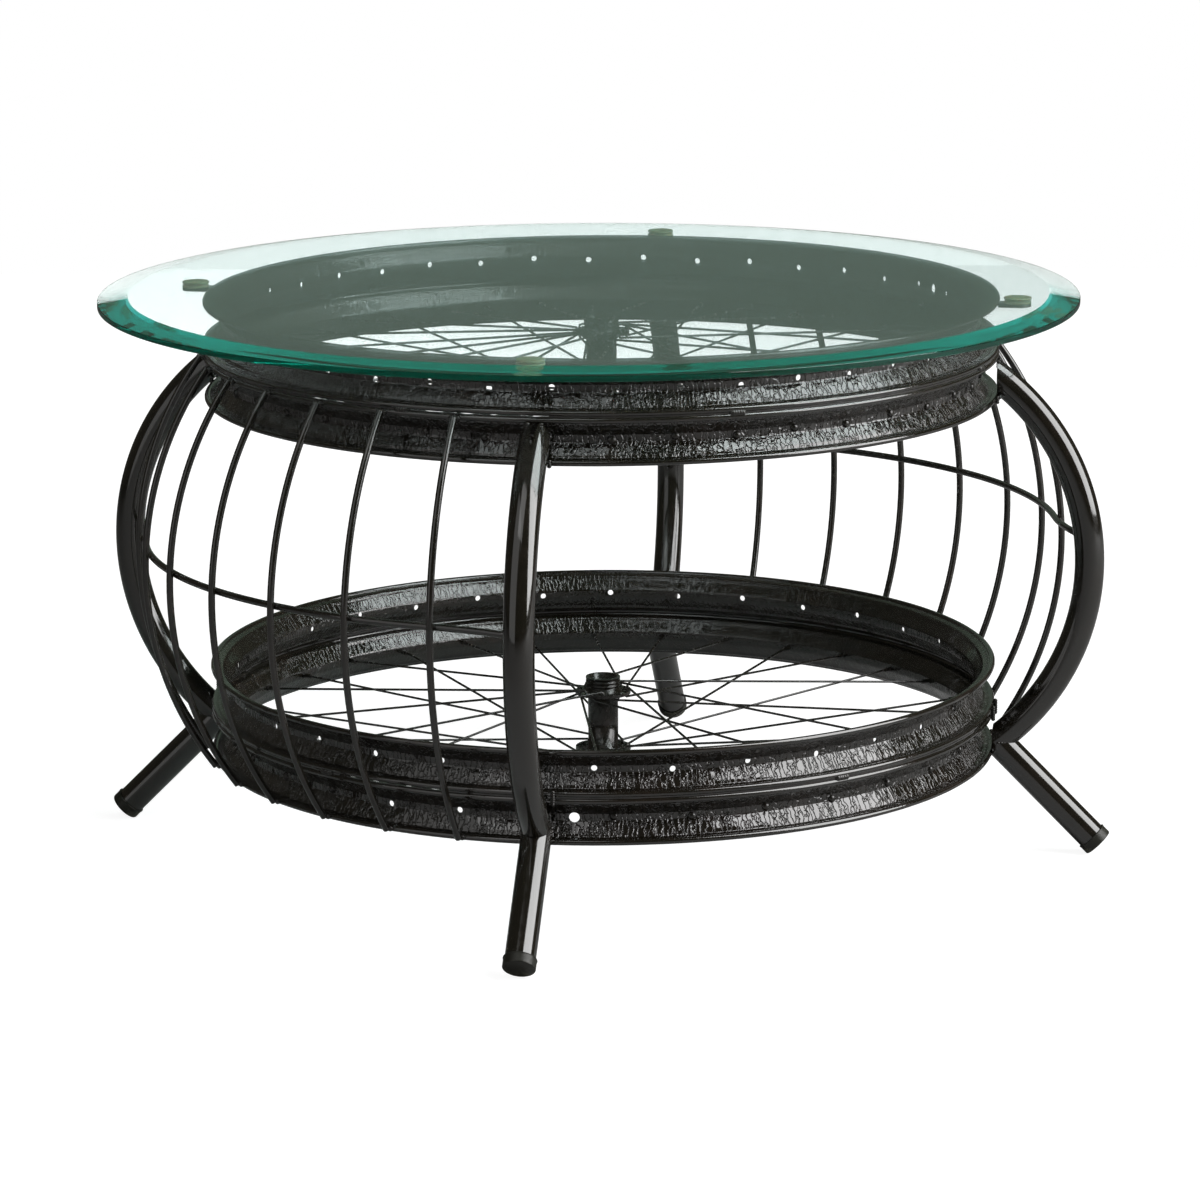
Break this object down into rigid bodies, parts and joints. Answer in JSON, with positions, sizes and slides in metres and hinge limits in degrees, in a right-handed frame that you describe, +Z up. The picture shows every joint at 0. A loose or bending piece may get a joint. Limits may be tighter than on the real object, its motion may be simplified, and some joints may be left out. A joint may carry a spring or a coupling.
{
  "type": "round glass coffee table",
  "caption": "Low round table: loose bevelled glass disc on a welded drum of bicycle rims, bowed tube legs and curved cage rods.",
  "frame": {"origin": "centre of the footprint on the floor, on the wheels' axis", "axes": "+Z up along the wheels' axis; the four legs stand at +X, +Y, -X and -Y"},
  "size_m": [0.8444, 0.8444, 0.4636],
  "materials": {
    "glass": "polished",
    "black_paint": "gloss",
    "pad_rubber": "satin",
    "cap_plastic": "satin"
  },
  "bodies": {
    "frame": {"bottom_hub": "black_paint", "bottom_lower_rim": "black_paint", "bottom_nipples": "black_paint", "bottom_spacer_welds": "black_paint", "bottom_spokes_lower": "black_paint", "bottom_spokes_upper": "black_paint", "bottom_upper_rim": "black_paint", "bow_tube_back": "black_paint", "bow_tube_front": "black_paint", "bow_tube_left": "black_paint", "bow_tube_right": "black_paint", "cage_rod_left_1": "black_paint", "cage_rod_left_2": "black_paint", "cage_rod_left_3": "black_paint", "cage_rod_left_4": "black_paint", "cage_rod_left_5": "black_paint", "cage_rod_left_6": "black_paint", "cage_rod_left_7": "black_paint", "cage_rod_right_1": "black_paint", "cage_rod_right_2": "black_paint", "cage_rod_right_3": "black_paint", "cage_rod_right_4": "black_paint", "cage_rod_right_5": "black_paint", "cage_rod_right_6": "black_paint", "cage_rod_right_7": "black_paint", "foot_cap_back": "cap_plastic", "foot_cap_front": "cap_plastic", "foot_cap_left": "cap_plastic", "foot_cap_right": "cap_plastic", "foot_tube_back": "black_paint", "foot_tube_front": "black_paint", "foot_tube_left": "black_paint", "foot_tube_right": "black_paint", "glass_pad_back": "pad_rubber", "glass_pad_front": "pad_rubber", "glass_pad_left": "pad_rubber", "glass_pad_right": "pad_rubber", "hoop_left": "black_paint", "hoop_right": "black_paint", "pad_tab_back": "black_paint", "pad_tab_front": "black_paint", "pad_tab_left": "black_paint", "pad_tab_right": "black_paint", "top_hub": "black_paint", "top_lower_rim": "black_paint", "top_nipples": "black_paint", "top_spacer_welds": "black_paint", "top_spokes_lower": "black_paint", "top_spokes_upper": "black_paint", "top_upper_rim": "black_paint"},
    "glass": {"glass_top": "glass"}
  },
  "joints": [
    {"name": "glass_lift", "type": "slide", "parent": "frame", "child": "glass", "axis": [0, 0, 1], "range_m": [0, 0.08]}
  ]
}
